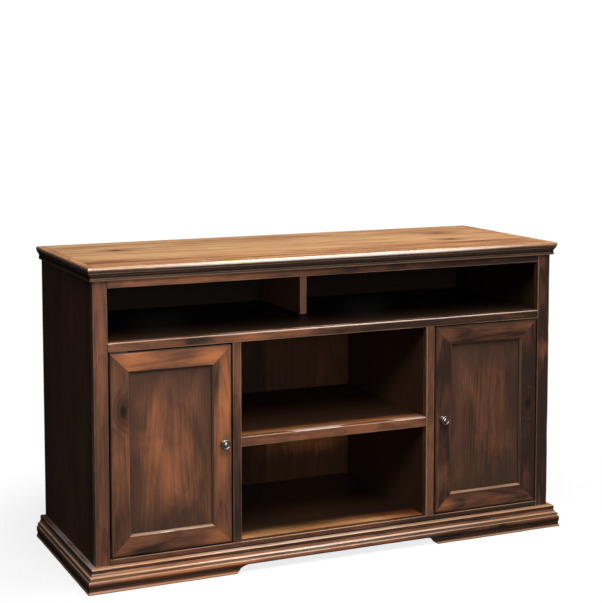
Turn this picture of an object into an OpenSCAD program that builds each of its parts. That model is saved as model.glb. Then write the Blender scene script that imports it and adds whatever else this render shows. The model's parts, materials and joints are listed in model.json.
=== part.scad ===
// Television console in solid alder: face-framed case, media bay over two
// cupboards with inset mitred doors and an open centre with one shelf.
// Millimetres, +Z up, front towards -Y, origin on the floor under the middle of the whole box.

/* [Case] */
// Width of the case over its side panels
body_w = 1332; // [1240:1:1500]
// Depth of the case from the face of the front frame to the back
body_d = 496; // [420:1:560]
// Height from the floor to the upper face of the top
total_h = 816; // [780:1:880]
// Thickness of the side panels
side_t = 19; // [16:0.5:24]
// Thickness of the partitions, the deck and the shelves
board_t = 18; // [15:0.5:20]
// Thickness of the back panels
back_t = 6; // [4:0.5:9]
// Depth of the housings that hold the ends of boards
housing = 6; // [3:0.5:7]
// Width of the rebate in the sides that holds the back panels
rebate_w = 9; // [6:0.5:11]
// Width and height of the cleats under the top
cleat = 20; // [15:1:25]
// Gap where two cleats meet in a corner
cleat_gap = 1; // [0.5:0.5:3]

/* [Front frame] */
// Thickness of the front frame
frame_t = 20; // [18:0.5:24]
// Width of the outer stiles
stile_w = 38; // [32:1:48]
// Width of the inner stiles
inner_stile_w = 24; // [21:1:34]
// Width of the centre opening
centre_w = 545; // [480:1:600]
// Height of the top rail, of which the cornice hides the upper part
top_rail_h = 41; // [36:1:50]
// Height of the middle rail
mid_rail_h = 23; // [20:1:30]
// Height of the bottom rail, of which the base hides the lower part
bottom_rail_h = 45; // [35:1:50]
// Radius of the eased edges
ease_r = 1.5; // [0.8:0.1:2]

/* [Bays] */
// Height of the deck's upper face above the floor
deck_z = 75; // [68:1:84]
// Clear height of the media bay
media_h = 137; // [110:1:160]
// Thickness of the media bay's divider
divider_t = 20; // [15:1:25]
// Distance of the divider behind the face of the front frame
divider_back = 215; // [150:5:280]
// Height of the centre shelf's upper face above the deck
centre_shelf_up = 276; // [220:1:320]
// Height of the centre shelf's front strip
nosing_h = 25.5; // [22:0.5:30]
// Depth of the centre shelf's front strip
nosing_d = 20; // [15:1:25]
// Distance of the centre shelf's face behind the face of the front frame
shelf_set = 2; // [1:0.5:6]
// Height of the cupboard shelves' upper face above the deck
cupboard_shelf_up = 255; // [200:1:320]
// Distance of the cupboard shelves behind the front frame
cupboard_shelf_back = 24; // [20:1:60]
// Side clearance of a loose shelf
shelf_clear = 0.5; // [0.3:0.1:1]
// Radius of the shelf pins' holes
pin_hole_r = 2.5; // [2:0.1:3]
// Running clearance of a shelf pin in its hole
pin_clear = 0.05; // [0.03:0.01:0.1]
// Depth of the shelf pins' holes
pin_deep = 8; // [6:0.5:8.5]
// Length of a shelf pin outside its hole
pin_out = 9; // [7:0.5:12]
// Distance from one shelf pin hole to the next above it
pin_pitch = 32; // [25:1:38]
// Spare pin holes over and under the one in use
pin_spare = 2; // [0:1:2]
// Distance of the pin holes from the front and back ends of a shelf
pin_inset = 50; // [35:1:70]
// Width of a cable hole in the back of the media bay
cable_w = 130; // [90:1:160]
// Height of a cable hole
cable_h = 56; // [40:1:64]
// Corner radius of a cable hole
cable_r = 12; // [6:1:18]
// Height of a cable hole's middle above the media shelf
cable_up = 98; // [60:1:110]

/* [Top] */
// Thickness of the top
top_t = 14; // [12:0.5:20]
// Reach of the top past the case at the front and the sides
top_over = 15; // [12:0.5:24]
// Width of the mitred strips round the top panel
strip_w = 20; // [16:0.5:30]
// Radius of the strips' rounded upper edges
strip_r = 5; // [2:0.5:7]
// Distance of the strips' lower edge behind their nose
under_in = 3; // [1:0.5:4]

/* [Cornice] */
// Height of the cornice under the top
cornice_h = 22; // [19:0.5:26]
// Distance of the cornice's upper fillet behind the edge of the top
fillet_in = 3; // [2:0.5:5.5]
// Height of the cornice's upper fillet
fillet_h = 3.5; // [2:0.5:6]
// Distance of the cornice's lower lip behind its fillet
lip_in = 4; // [1:0.5:4]
// Height of the cornice's lower lip
lip_h = 8.5; // [6:0.5:10]
// Radius under the cornice's lower lip
lip_r = 3.5; // [2:0.5:4]
// Radius of the lip's upper edge
lip_edge = 1; // [0.5:0.5:1.5]

/* [Base] */
// Height of the base moulding
base_h = 60; // [56:1:66]
// Reach of the base moulding's toe
toe_out = 27; // [26:0.5:34]
// Height of the toe's flat edge
toe_h = 3.5; // [1:0.5:5]
// Depth of the hollow over the toe
waist_in = 2.7; // [1:0.1:4]
// Height of the hollow over the toe
waist_h = 9.5; // [7:0.5:12]
// Distance of the ledge that carries the round behind the toe
ledge_in = 3.7; // [3:0.1:6]
// Reach of the round past its ledge
round_out = 3; // [1.5:0.5:3.5]
// Height of the round
round_h = 19; // [16:0.5:21]
// Height of the groove over the round
quirk_h = 2; // [1:0.5:3]
// Depth of the groove over the round
quirk_d = 2; // [1:0.5:3]
// Height of the fillet over the groove
ledge_h = 3.5; // [2:0.5:5]
// Distance that the broad cove runs back from the fillet to the top bead
cove_in = 9; // [7:0.5:11]
// Depth of the hollow of the broad cove
cove_d = 2.3; // [1.5:0.1:3]
// Height of the top bead
bead_h = 8.5; // [7:0.5:10]
// Radius of the top bead's upper edge
bead_r = 4.5; // [3:0.5:5]
// Radius under the top bead, by which it stands out past the cove
bead_out = 1; // [0.5:0.5:1.5]
// Height of the cut-out in the front of the base
cut_h = 21; // [14:0.5:26]
// Slope of the cut-out's ends at the floor
cut_slope = 50; // [40:1:60]
// Radius that joins the cut-out's ends to its upper edge
cut_r = 34; // [20:1:38]
// Thickness of the base's back board
base_back_t = 18; // [15:0.5:20]
// Width of the corner blocks
block_w = 45; // [30:1:60]
// Height of the runners under the deck
runner_h = 27; // [20:1:32]

/* [Doors] */
// Gap round a door
door_gap = 3; // [1.6:0.1:3.2]
// Thickness of a door
door_t = 20; // [18:0.5:22]
// Width of a door's mitred members
member_w = 54; // [48:1:64]
// Width of the sloped edge inside a door's frame
slope_w = 5; // [3:0.5:7]
// Depth of the sloped edge
slope_d = 4.5; // [2:0.5:5]
// Distance of a door panel's face behind the door's face
panel_back = 8; // [6.5:0.5:9]
// Thickness of a door panel
panel_t = 6; // [5:0.5:7]
// Depth of the groove that holds a door panel
groove_d = 9; // [7:0.5:12]
// Space left in the groove for the panel to swell
panel_play = 1.5; // [0.5:0.5:3]

/* [Knobs] */
// Distance of a knob's axis from the door's free edge
knob_in = 23; // [20:1:26]
// Height of the knobs' axes above the floor
knob_z = 340.5; // [300:0.5:380]
// Radius of a knob's head
knob_r = 12.5; // [11:0.5:16]
// Reach of a knob in front of its door
knob_out = 22; // [20:0.5:26]
// Radius of the rounded rim of a knob's head
rim_r = 2; // [1:0.5:2.5]
// Depth of the dish inside the rim
dish_d = 1.2; // [0.6:0.1:1.5]
// Radius of the button in the middle of the dish
button_r = 7; // [5:0.5:8]
// Reach of the button past the rim
button_out = 1.5; // [0.5:0.5:2.5]
// Radius of a knob's neck
neck_r = 5; // [4:0.5:6]
// Distance of a knob's neck from its door
neck_up = 6; // [5:0.5:9]
// Radius of a knob's foot
foot_r = 8.5; // [7:0.5:10]
// Height of a knob's foot
foot_h = 2.5; // [1.5:0.5:4]
// Radius of the knob screws
screw_r = 2; // [1.5:0.1:2.5]
// Running clearance round a knob screw
screw_clear = 0.2; // [0.1:0.05:0.4]
// Depth of the screw in a knob
screw_deep = 10; // [7:0.5:12]
// Radius of the knob screws' heads
screw_head_r = 4.5; // [3.5:0.5:6]
// Height of the knob screws' heads
screw_head_h = 2.5; // [1.5:0.5:3]

/* [Hinges] */
// Distance of a hinge pin from the edge of the door's opening
pivot_in = 6; // [5.5:0.1:8]
// Distance of a hinge pin behind the face of the door
pivot_back = 3; // [2:0.1:3.5]
// Radius of a hinge pin
pivot_r = 1.5; // [1:0.1:1.8]
// Running clearance of a hinge pin in its bore
pivot_clear = 0.05; // [0.03:0.01:0.08]
// Thickness of a hinge leaf
leaf_t = 2.5; // [2.2:0.1:3]
// Length of a hinge leaf from its pin
leaf_l = 46; // [35:1:52]
// Distance from a hinge leaf's back edge to the face of the door
leaf_back = 13; // [10:0.5:15]
// Gap between the two leaves of a hinge
leaf_gap = 0.1; // [0.1:0.05:0.3]

/* [Catches] */
// Length of a catch and of its strike
catch_l = 44; // [30:1:50]
// Depth of a catch from front to back
catch_d = 15; // [12:1:20]
// Height of a catch's magnet part below the middle rail
catch_drop = 15; // [12:1:18]
// Distance of a catch from the free edge of the door
catch_in = 60; // [50:1:90]
// Thickness of a strike
strike_t = 1.2; // [1:0.1:2]
// Gap between a catch and its strike
catch_gap = 0.3; // [0.2:0.1:0.5]

/* [Hidden] */
$fn = 32;
pin_n = 16;
round_n = 4;
curve_n = 10;
// How far a cut runs past the faces that it opens
cut_past = 1;

half_w = body_w / 2;
front_most = max(toe_out, knob_out);
front_y = -(body_d - front_most) / 2;
top_z = total_h - top_t;
cornice_z = top_z - cornice_h;
media_top = top_z - top_rail_h;
media_z = media_top - media_h;
mid_rail_z = media_z - mid_rail_h;
back_y = body_d - back_t;
inner_x = half_w - side_t;
open_x = half_w - stile_w;
fillet_out = top_over - fillet_in;
lip_out = fillet_out - lip_in;
waist_out = toe_out - waist_in;
ledge_out = toe_out - ledge_in;
bead_seat = ledge_out - cove_in;
centre_x = centre_w / 2;
inner_stile_x = centre_x + inner_stile_w;
partition_x = centre_x + board_t;
back_split_z = media_z - board_t / 2;

// Loose shelves: where they lie and where their pins are
centre_shelf_z = deck_z + centre_shelf_up;
cupboard_shelf_z = deck_z + cupboard_shelf_up;
pin_r = pin_hole_r - pin_clear;
pin_tip = pin_r / 3;
pin_front = frame_t + cupboard_shelf_back + pin_inset;
pin_rear = back_y - pin_inset;
centre_pin_z = centre_shelf_z - board_t - pin_r - pin_clear;
cupboard_pin_z = cupboard_shelf_z - board_t - pin_r - pin_clear;

// The cut-out in the front of the base ends under the inner stiles' outer edges
cut_x = inner_stile_x;
cut_arc_w = cut_r * sin(cut_slope);
cut_arc_h = cut_r * (1 - cos(cut_slope));
cut_run = (cut_h - cut_arc_h) / tan(cut_slope);

// The left door; the right one is its mirror image
door_x0 = -open_x + door_gap;
door_x1 = -inner_stile_x - door_gap;
door_z0 = deck_z + door_gap;
door_z1 = mid_rail_z - door_gap;
door_w = door_x1 - door_x0;
door_h = door_z1 - door_z0;
knob_x = door_x1 - knob_in;
pivot_x = -open_x + pivot_in;
leaf_in = leaf_t - (door_gap - leaf_gap) / 2;
low_leaf_z = deck_z - leaf_in;
high_leaf_z = mid_rail_z - (door_gap + leaf_gap) / 2;
catch_x = door_x1 - catch_in;
catch_z = mid_rail_z - catch_drop;
strike_edge = 1.5;

burnished = "#5a3524";
shadowed = "#3a2219";
natural = "#c08a52";
inside = "#4a2c1e";
pewter = "#8c8880";
steel = "#b4b4b0";
brass = "#b08d4a";
dark = "#2a2a2a";

// Points along an arc of an ellipse about c
function arc(c, rx, ry, a0, a1, n) =
    [for (i = [0:n]) let (a = a0 + (a1 - a0) * i / n) c + [rx * cos(a), ry * sin(a)]];

// One corner of a board's outline, square where r is 0
function corner(p, sx, sy, r, a) =
    r == 0 ? [p] : arc(p + [sx * r, sy * r], r, r, a, a + 90, round_n);

// A path without its last point
function start(path) = [for (i = [0:len(path) - 2]) path[i]];

// Points along a shallow hollow from a to b, d deep, to the left of its run
function hollow(a, b, d, n) = let (along = (b - a) / norm(b - a), inward = [-along[1], along[0]])
    [for (i = [0:n]) let (t = i / n) a + t * (b - a) + 4 * t * (1 - t) * d * inward];

// Outline of a board from a to b; r holds the four corners' radii, counter-clockwise from a
function outline(a, b, r) = concat(
    corner(a, 1, 1, r[0], 180),
    corner([b[0], a[1]], -1, 1, r[1], 270),
    corner(b, -1, -1, r[2], 0),
    corner([a[0], b[1]], 1, -1, r[3], 90)
);

square_edges = [0, 0, 0, 0];

// Moves what is drawn from the face of the front frame to its place
module from_front() translate([0, front_y, 0]) children();

// A board that stands upright: its outline lies in plan
module upright(x, y, z, r = square_edges) {
    from_front() translate([0, 0, z[0]])
        linear_extrude(z[1] - z[0]) polygon(outline([x[0], y[0]], [x[1], y[1]], r));
}

// A board that runs from left to right: its outline lies in depth and height
module across(x, y, z, r = square_edges) {
    from_front() translate([x[0], 0, 0]) rotate([90, 0, 90])
        linear_extrude(x[1] - x[0]) polygon(outline([y[0], z[0]], [y[1], z[1]], r));
}

// A moulding's stretch along the front, from reach near to reach far, mitred at both ends
module mitred_front(profile, near, far) {
    a = half_w + near - cut_past;
    b = half_w + far + cut_past;
    from_front() intersection() {
        translate([-b, 0, 0]) rotate([90, 0, 90])
            linear_extrude(2 * b) polygon([for (q = profile) [-q[0], q[1]]]);
        translate([0, 0, -cut_past]) linear_extrude(total_h + 2 * cut_past)
            polygon([[-a, half_w - a], [-b, half_w - b], [b, half_w - b], [a, half_w - a]]);
    }
}

// The same moulding's stretch along the left side, mitred at the front and square at the back
module mitred_left(profile, near, far) {
    a = half_w + near - cut_past;
    b = half_w + far + cut_past;
    rear = body_d + cut_past;
    from_front() intersection() {
        translate([0, body_d, 0]) rotate([90, 0, 0])
            linear_extrude(body_d - half_w + b) polygon([for (q = profile) [-half_w - q[0], q[1]]]);
        translate([0, 0, -cut_past]) linear_extrude(total_h + 2 * cut_past)
            polygon([[-a, half_w - a], [-a, rear], [-b, rear], [-b, half_w - b]]);
    }
}

module mirrored() mirror([1, 0, 0]) children();

// Moulding profiles: reach past the case, height above the floor

strip_near = top_over - strip_w;
under_h = top_t - strip_r;
under_r = (under_h * under_h + under_in * under_in) / (2 * under_in);
under_turn = 2 * atan(under_in / under_h);
strip_profile = concat(
    [[strip_near, top_z]],
    start(arc([top_over - under_r, total_h - strip_r], under_r, under_r, -under_turn, 0, round_n)),
    arc([top_over - strip_r, total_h - strip_r], strip_r, strip_r, 0, 90, round_n),
    [[strip_near, total_h]]
);

cove_z = cornice_z + lip_h;
cornice_profile = concat(
    [[0, top_z], [0, cornice_z]],
    arc([lip_out - lip_r, cornice_z + lip_r], lip_r, lip_r, 270, 360, round_n),
    start(arc([lip_out - lip_edge, cove_z - lip_edge], lip_edge, lip_edge, 0, 90, round_n)),
    arc([fillet_out, cove_z], fillet_out - lip_out + lip_edge, top_z - fillet_h - cove_z, 180, 90, curve_n),
    [[fillet_out, top_z]]
);

waist_top = toe_h + waist_h;
round_z = waist_top + round_h / 2;
quirk_z = waist_top + round_h;
ledge_z = quirk_z + quirk_h;
hollow_z = ledge_z + ledge_h;
bead_z = base_h - bead_h;
base_profile = concat(
    [[0, 0], [toe_out, 0]],
    arc([toe_out, waist_top], toe_out - waist_out, waist_h, 270, 180, curve_n),
    arc([ledge_out, round_z], round_out, round_h / 2, -90, 90, curve_n),
    [[ledge_out - quirk_d, quirk_z], [ledge_out - quirk_d, ledge_z], [ledge_out, ledge_z]],
    start(hollow([ledge_out, hollow_z], [bead_seat, bead_z], cove_d, curve_n)),
    arc([bead_seat, bead_z + bead_out], bead_out, bead_out, 270, 360, round_n),
    arc([bead_seat + bead_out - bead_r, base_h - bead_r], bead_r, bead_r, 0, 90, round_n),
    [[0, base_h]]
);

// The top

module top_panel() {
    color(natural)
        across([-half_w - strip_near, half_w + strip_near], [-strip_near, body_d], [top_z, total_h]);
}

module top_strip_front() {
    color(natural) mitred_front(strip_profile, strip_near, top_over);
}

module top_strip_left() {
    color(natural) mitred_left(strip_profile, strip_near, top_over);
}

module top_strip_right() mirrored() top_strip_left();

module cornice_front() {
    color(burnished) mitred_front(cornice_profile, 0, fillet_out);
}

module cornice_left() {
    color(shadowed) mitred_left(cornice_profile, 0, fillet_out);
}

module cornice_right() mirrored() cornice_left();

// The case

// A row of shelf pin holes into a wall's face at x, drilled towards +X
module pin_holes(x, pin_z) {
    for (y = [pin_front, pin_rear], k = [-pin_spare:pin_spare])
        from_front() translate([x - cut_past, y, pin_z + k * pin_pitch]) rotate([0, 90, 0])
            cylinder(h = pin_deep + cut_past, r = pin_hole_r, $fn = pin_n);
}

module side_left() {
    color(shadowed) difference() {
        upright([-half_w, -inner_x], [frame_t, body_d], [0, top_z]);
        for (z = [media_z, deck_z])
            across([-inner_x - housing, -inner_x + cut_past], [frame_t - cut_past, body_d],
                [z - board_t, z]);
        across([-inner_x - rebate_w, -inner_x + cut_past], [back_y, body_d + cut_past],
            [deck_z - board_t, top_z + cut_past]);
        mirrored() pin_holes(inner_x, cupboard_pin_z);
    }
}

module side_right() mirrored() side_left();

module stile_left() {
    color(burnished)
        upright([-half_w, -open_x], [0, frame_t], [0, top_z], [ease_r, ease_r, 0, 0]);
}

module stile_right() mirrored() stile_left();

module rail_top() {
    color(burnished)
        across([-open_x, open_x], [0, frame_t], [media_top, top_z], [ease_r, 0, 0, 0]);
}

module rail_middle() {
    color(burnished) difference() {
        across([-open_x, open_x], [0, frame_t], [mid_rail_z, media_z], [ease_r, 0, 0, ease_r]);
        hinge_leaf(high_leaf_z);
        mirrored() hinge_leaf(high_leaf_z);
    }
}

module rail_bottom() {
    color(burnished) difference() {
        across([-open_x, open_x], [0, frame_t], [deck_z - bottom_rail_h, deck_z], [0, 0, 0, ease_r]);
        hinge_leaf(low_leaf_z);
        mirrored() hinge_leaf(low_leaf_z);
    }
}

module inner_stile_left() {
    color(burnished)
        upright([-inner_stile_x, -centre_x], [0, frame_t], [deck_z, mid_rail_z], [ease_r, ease_r, 0, 0]);
}

module inner_stile_right() mirrored() inner_stile_left();

module partition_left() {
    color(inside) difference() {
        upright([-partition_x, -centre_x], [frame_t, back_y],
            [deck_z - housing, media_z - board_t + housing]);
        pin_holes(-partition_x, cupboard_pin_z);
        mirrored() pin_holes(centre_x, centre_pin_z);
    }
}

module partition_right() mirrored() partition_left();

// The parts of the partitions that stand in the deck and the media shelf
module partition_seats(z) {
    for (s = [-1, 1])
        upright([s * (centre_x + board_t / 2) - board_t / 2, s * (centre_x + board_t / 2) + board_t / 2],
            [frame_t - cut_past, back_y + cut_past], z);
}

module media_divider() {
    color(inside)
        upright([-divider_t / 2, divider_t / 2], [divider_back, back_y], [media_z - housing, top_z],
            [ease_r, ease_r, 0, 0]);
}

module media_shelf() {
    color(inside) difference() {
        across([-inner_x - housing, inner_x + housing], [frame_t, back_y], [media_z - board_t, media_z]);
        partition_seats([media_z - board_t - cut_past, media_z - board_t + housing]);
        upright([-divider_t / 2, divider_t / 2], [divider_back, back_y + cut_past],
            [media_z - housing, media_z + cut_past], [ease_r, ease_r, 0, 0]);
    }
}

module deck() {
    color(inside) difference() {
        across([-inner_x - housing, inner_x + housing], [frame_t, back_y], [deck_z - board_t, deck_z]);
        partition_seats([deck_z - housing, deck_z + cut_past]);
    }
}

module centre_shelf() {
    x = centre_x - shelf_clear;
    color(inside)
        across([-x, x], [shelf_set + nosing_d, back_y - shelf_clear],
            [centre_shelf_z - board_t, centre_shelf_z]);
}

module centre_shelf_nosing() {
    x = centre_x - shelf_clear;
    color(burnished)
        across([-x, x], [shelf_set, shelf_set + nosing_d],
            [centre_shelf_z - nosing_h, centre_shelf_z], [ease_r, 0, 0, ease_r]);
}

module cupboard_shelf_left() {
    color(inside)
        across([-inner_x + shelf_clear, -partition_x - shelf_clear],
            [frame_t + cupboard_shelf_back, back_y - shelf_clear],
            [cupboard_shelf_z - board_t, cupboard_shelf_z], [ease_r, 0, 0, ease_r]);
}

module cupboard_shelf_right() mirrored() cupboard_shelf_left();

// One shelf pin that stands out of a wall's face at x towards +X
module shelf_pin(x, y, z) {
    from_front() translate([x - pin_deep, y, z]) rotate([0, 90, 0]) {
        cylinder(h = pin_deep + pin_out, r = pin_r, $fn = pin_n);
        translate([0, 0, pin_deep + pin_out])
            cylinder(h = pin_tip, r1 = pin_r, r2 = pin_r - pin_tip, $fn = pin_n);
    }
}

module shelf_pins() {
    color(steel)
        for (y = [pin_front, pin_rear]) {
            shelf_pin(-centre_x, y, centre_pin_z);
            mirrored() shelf_pin(-centre_x, y, centre_pin_z);
            shelf_pin(-inner_x, y, cupboard_pin_z);
            mirrored() shelf_pin(-inner_x, y, cupboard_pin_z);
            shelf_pin(partition_x, y, cupboard_pin_z);
            mirrored() shelf_pin(partition_x, y, cupboard_pin_z);
        }
}

module back_upper() {
    color(inside) difference() {
        across([-inner_x - rebate_w, inner_x + rebate_w], [back_y, body_d], [back_split_z, top_z]);
        for (s = [-1, 1])
            from_front()
                translate([s * (divider_t / 2 + inner_x) / 2, body_d + cut_past, media_z + cable_up])
                rotate([90, 0, 0]) linear_extrude(back_t + 2 * cut_past)
                    polygon(outline([-cable_w / 2, -cable_h / 2], [cable_w / 2, cable_h / 2],
                        [cable_r, cable_r, cable_r, cable_r]));
    }
}

module back_lower() {
    color(inside)
        across([-inner_x - rebate_w, inner_x + rebate_w], [back_y, body_d], [deck_z - board_t, back_split_z]);
}

module top_cleats() {
    color(inside)
        for (s = [0, 1]) mirror([s, 0, 0]) {
            upright([inner_x - cleat, inner_x], [frame_t, back_y], [top_z - cleat, top_z]);
            across([divider_t / 2, inner_x - cleat - cleat_gap], [back_y - cleat, back_y],
                [top_z - cleat, top_z]);
        }
}

// The base

// The opening under the front of the base, in width and height
cut_outline = concat(
    [[-cut_x, 0], [-cut_x, -cut_past], [cut_x, -cut_past], [cut_x, 0]],
    arc([cut_x - cut_run - cut_arc_w, cut_h - cut_r], cut_r, cut_r, 90 - cut_slope, 90, curve_n),
    arc([-cut_x + cut_run + cut_arc_w, cut_h - cut_r], cut_r, cut_r, 90, 90 + cut_slope, curve_n)
);

module base_front() {
    color(burnished) difference() {
        mitred_front(base_profile, 0, toe_out);
        from_front() translate([0, cut_past, 0]) rotate([90, 0, 0])
            linear_extrude(toe_out + 2 * cut_past) polygon(cut_outline);
    }
}

module base_left() {
    color(shadowed) mitred_left(base_profile, 0, toe_out);
}

module base_right() mirrored() base_left();

module base_back() {
    color(inside)
        across([-inner_x, inner_x], [body_d - base_back_t, body_d], [0, deck_z - board_t]);
}

module corner_blocks() {
    rear = body_d - base_back_t;
    color(inside)
        for (s = [0, 1], y = [frame_t, rear - block_w]) mirror([s, 0, 0])
            upright([inner_x - block_w, inner_x], [y, y + block_w], [0, deck_z - board_t]);
}

module deck_runners() {
    x = centre_x + board_t / 2;
    color(inside)
        for (s = [-1, 1])
            upright([s * x - board_t / 2, s * x + board_t / 2], [frame_t, body_d - base_back_t],
                [deck_z - board_t - runner_h, deck_z - board_t]);
}

// The hinges: knife leaves let into the door and into the rails over and under it

// One leaf of the left door's hinges, without its bore
module hinge_leaf(z) {
    from_front() translate([0, 0, z]) linear_extrude(leaf_t) {
        translate([pivot_x, pivot_back]) circle(r = pivot_back);
        translate([door_x0, pivot_back]) square([pivot_x - door_x0 + leaf_l, leaf_back - pivot_back]);
    }
}

door_leaf_z = [low_leaf_z + leaf_t + leaf_gap, high_leaf_z - leaf_gap - leaf_t];

module hinge_plates_left() {
    color(brass) {
        hinge_leaf(low_leaf_z);
        from_front() translate([pivot_x, pivot_back, low_leaf_z + leaf_t])
            cylinder(h = leaf_t + leaf_gap, r = pivot_r);
        hinge_leaf(high_leaf_z);
        from_front() translate([pivot_x, pivot_back, high_leaf_z - leaf_gap - leaf_t])
            cylinder(h = leaf_t + leaf_gap, r = pivot_r);
    }
}

module hinge_plates_right() mirrored() hinge_plates_left();

module door_left_hinge_leaves() {
    color(brass) difference() {
        for (z = door_leaf_z) hinge_leaf(z);
        from_front() translate([pivot_x, pivot_back, door_z0 - door_gap])
            cylinder(h = door_h + 2 * door_gap, r = pivot_r + pivot_clear);
    }
}

// The catches

module catch_left() {
    y = frame_t + strike_t + catch_gap;
    color(dark)
        upright([catch_x - catch_l, catch_x], [y, y + catch_d], [catch_z, media_z - board_t]);
}

module catch_right() mirrored() catch_left();

module door_left_strike() {
    color(steel)
        upright([catch_x - catch_l, catch_x], [door_t, door_t + strike_t], [catch_z, door_z1 - strike_edge]);
}

// The doors

member_profile = concat(
    corner([0, 0], 1, 1, ease_r, 180),
    [[member_w - slope_w, 0], [member_w, slope_d], [member_w, panel_back]],
    [[member_w - groove_d, panel_back], [member_w - groove_d, panel_back + panel_t]],
    [[member_w, panel_back + panel_t], [member_w, door_t], [0, door_t]]
);

// One member of a door's frame: runs along +X, its inner edge towards +Z, mitred at both ends
module door_member(length) {
    inner = member_w + cut_past;
    intersection() {
        rotate([90, 0, 90]) linear_extrude(length) polygon([for (q = member_profile) [q[1], q[0]]]);
        translate([0, door_t + cut_past, 0]) rotate([90, 0, 0]) linear_extrude(door_t + 2 * cut_past)
            polygon([[-cut_past, -cut_past], [length + cut_past, -cut_past],
                [length - inner, inner], [inner, inner]]);
    }
}

module door_left_hinge_stile() {
    color(burnished) difference() {
        from_front() translate([door_x0, 0, door_z0])
            mirror([1, 0, 0]) rotate([0, -90, 0]) door_member(door_h);
        for (z = door_leaf_z) hinge_leaf(z);
    }
}

module door_left_free_stile() {
    color(burnished) difference() {
        from_front() translate([door_x1, 0, door_z0]) rotate([0, -90, 0]) door_member(door_h);
        from_front() translate([knob_x, door_t + cut_past, knob_z]) rotate([90, 0, 0])
            cylinder(h = door_t + 2 * cut_past, r = screw_r + screw_clear);
    }
}

module door_left_top_rail() {
    color(burnished) difference() {
        from_front() translate([door_x0, 0, door_z1]) mirror([0, 0, 1]) door_member(door_w);
        for (z = door_leaf_z) hinge_leaf(z);
    }
}

module door_left_bottom_rail() {
    color(burnished) difference() {
        from_front() translate([door_x0, 0, door_z0]) door_member(door_w);
        for (z = door_leaf_z) hinge_leaf(z);
    }
}

module door_left_panel() {
    edge = member_w - groove_d + panel_play;
    color(burnished)
        across([door_x0 + edge, door_x1 - edge], [panel_back, panel_back + panel_t],
            [door_z0 + edge, door_z1 - edge]);
}

// The knobs

rim_z = knob_out - button_out;
under_z = rim_z - 2 * rim_r;
foot_in = foot_r - foot_h / 2;
dish_z = rim_z - dish_d;
knob_profile = concat(
    [[0, 0]],
    arc([foot_in, foot_h / 2], foot_h / 2, foot_h / 2, -90, 90, round_n),
    arc([foot_in, neck_up], foot_in - neck_r, neck_up - foot_h, 270, 180, round_n),
    arc([knob_r - rim_r, neck_up], knob_r - rim_r - neck_r, under_z - neck_up, 180, 90, curve_n),
    arc([knob_r - rim_r, rim_z - rim_r], rim_r, rim_r, -90, 90, round_n),
    arc([0, dish_z], button_r, knob_out - dish_z, 0, 90, curve_n)
);

module knob_left() {
    color(pewter) from_front() translate([knob_x, 0, knob_z]) rotate([90, 0, 0]) difference() {
        rotate_extrude() polygon(knob_profile);
        translate([0, 0, -cut_past]) cylinder(h = screw_deep + cut_past, r = screw_r);
    }
}

module knob_screw_left() {
    color(steel) from_front() translate([knob_x, door_t, knob_z]) rotate([90, 0, 0]) {
        cylinder(h = door_t + screw_deep - screw_clear, r = screw_r - pin_clear);
        translate([0, 0, -screw_head_h]) cylinder(h = screw_head_h, r = screw_head_r);
    }
}

// The right door mirrors the left one

module door_right_hinge_stile() mirrored() door_left_hinge_stile();
module door_right_free_stile() mirrored() door_left_free_stile();
module door_right_top_rail() mirrored() door_left_top_rail();
module door_right_bottom_rail() mirrored() door_left_bottom_rail();
module door_right_panel() mirrored() door_left_panel();
module door_right_hinge_leaves() mirrored() door_left_hinge_leaves();
module door_right_strike() mirrored() door_left_strike();
module knob_right() mirrored() knob_left();
module knob_screw_right() mirrored() knob_screw_left();

top_panel();
top_strip_front();
top_strip_left();
top_strip_right();
cornice_front();
cornice_left();
cornice_right();
side_left();
side_right();
stile_left();
stile_right();
rail_top();
rail_middle();
rail_bottom();
inner_stile_left();
inner_stile_right();
partition_left();
partition_right();
media_divider();
media_shelf();
deck();
centre_shelf();
centre_shelf_nosing();
cupboard_shelf_left();
cupboard_shelf_right();
shelf_pins();
back_upper();
back_lower();
top_cleats();
base_front();
base_left();
base_right();
base_back();
corner_blocks();
deck_runners();
hinge_plates_left();
hinge_plates_right();
catch_left();
catch_right();
door_left_hinge_stile();
door_left_free_stile();
door_left_top_rail();
door_left_bottom_rail();
door_left_panel();
door_left_hinge_leaves();
door_left_strike();
knob_left();
knob_screw_left();
door_right_hinge_stile();
door_right_free_stile();
door_right_top_rail();
door_right_bottom_rail();
door_right_panel();
door_right_hinge_leaves();
door_right_strike();
knob_right();
knob_screw_right();
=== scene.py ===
"""Television console in solid alder: worn boards, stained and burnished finishes, hardware and studio."""

import json
import math
from dataclasses import dataclass

import bmesh
import bpy
from bpy.props import FloatProperty, FloatVectorProperty, PointerProperty
from mathutils import Matrix, Vector, noise

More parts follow.
